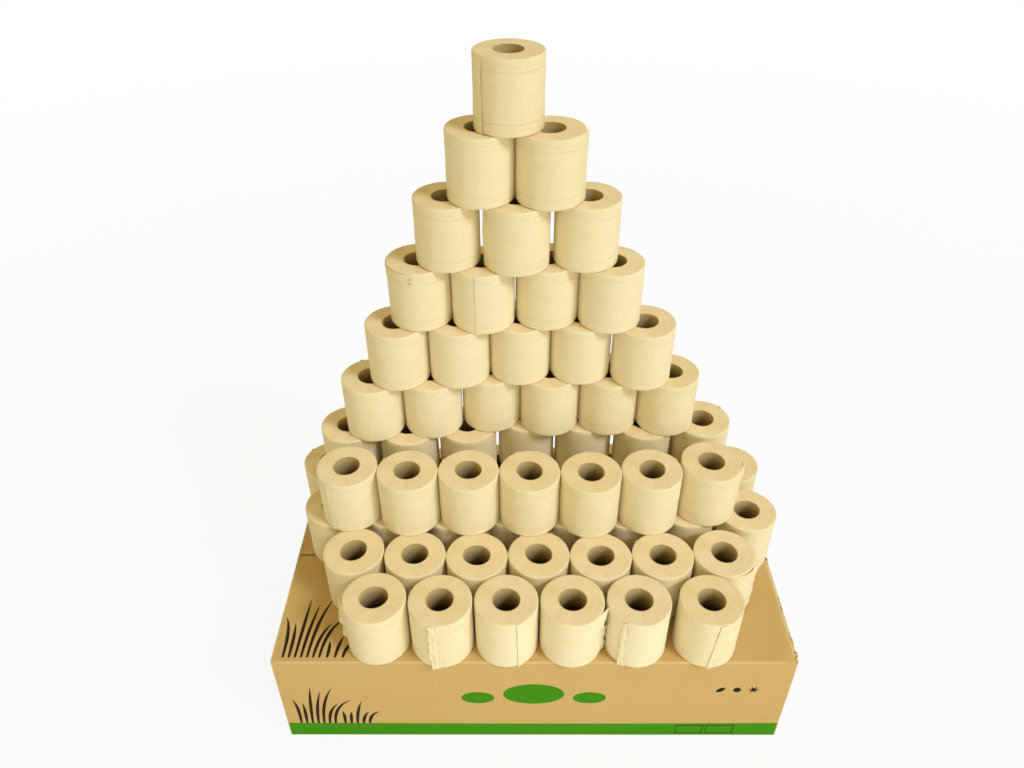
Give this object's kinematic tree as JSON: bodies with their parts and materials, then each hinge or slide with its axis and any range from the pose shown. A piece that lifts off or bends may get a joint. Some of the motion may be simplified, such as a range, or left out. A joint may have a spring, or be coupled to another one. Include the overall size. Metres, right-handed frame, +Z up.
{
  "type": "toilet paper roll pack",
  "caption": "Bare toilet rolls on cardboard cores, stacked in two steps and a stepped wall on top of their closed shipping carton.",
  "frame": {"origin": "middle of the carton's base, on the surface that it stands on", "axes": "+Z up along every roll's axis, +Y from the front row to the wall at the back, +X to the right along the rows"},
  "size_m": [0.8031, 0.435, 1.002],
  "materials": {
    "roll_paper": "unbleached crepe tissue, matt",
    "core_board": "spiral-wound grey-brown board, matt",
    "carton_board": "kraft corrugated board with flat green and dark brown print"
  },
  "bodies": {
    "root": {"carton": "carton_board", "front_cores": "core_board", "front_roll_1": "roll_paper", "front_roll_2": "roll_paper", "front_roll_3": "roll_paper", "front_roll_4": "roll_paper", "front_roll_5": "roll_paper", "front_roll_6": "roll_paper", "lower_step_cores": "core_board", "lower_step_roll_1": "roll_paper", "lower_step_roll_2": "roll_paper", "lower_step_roll_3": "roll_paper", "lower_step_roll_4": "roll_paper", "lower_step_roll_5": "roll_paper", "lower_step_roll_6": "roll_paper", "lower_step_roll_7": "roll_paper", "lower_step_roll_8": "roll_paper", "second_cores": "core_board", "second_roll_1": "roll_paper", "second_roll_2": "roll_paper", "second_roll_3": "roll_paper", "second_roll_4": "roll_paper", "second_roll_5": "roll_paper", "second_roll_6": "roll_paper", "second_roll_7": "roll_paper", "upper_step_cores": "core_board", "upper_step_roll_1": "roll_paper", "upper_step_roll_2": "roll_paper", "upper_step_roll_3": "roll_paper", "upper_step_roll_4": "roll_paper", "upper_step_roll_5": "roll_paper", "upper_step_roll_6": "roll_paper", "upper_step_roll_7": "roll_paper", "wall_level_1_cores": "core_board", "wall_level_1_rolls": "roll_paper", "wall_level_2_cores": "core_board", "wall_level_2_rolls": "roll_paper", "wall_level_3_cores": "core_board", "wall_level_3_rolls": "roll_paper", "wall_level_4_cores": "core_board", "wall_level_4_rolls": "roll_paper", "wall_level_5_cores": "core_board", "wall_level_5_roll_1": "roll_paper", "wall_level_5_roll_2": "roll_paper", "wall_level_5_roll_3": "roll_paper", "wall_level_5_roll_4": "roll_paper", "wall_level_6_cores": "core_board", "wall_level_6_roll_1": "roll_paper", "wall_level_6_roll_2": "roll_paper", "wall_level_6_roll_3": "roll_paper", "wall_level_7_cores": "core_board", "wall_level_7_roll_1": "roll_paper", "wall_level_7_roll_2": "roll_paper", "wall_level_8_cores": "core_board", "wall_level_8_roll": "roll_paper"}
  },
  "joints": []
}
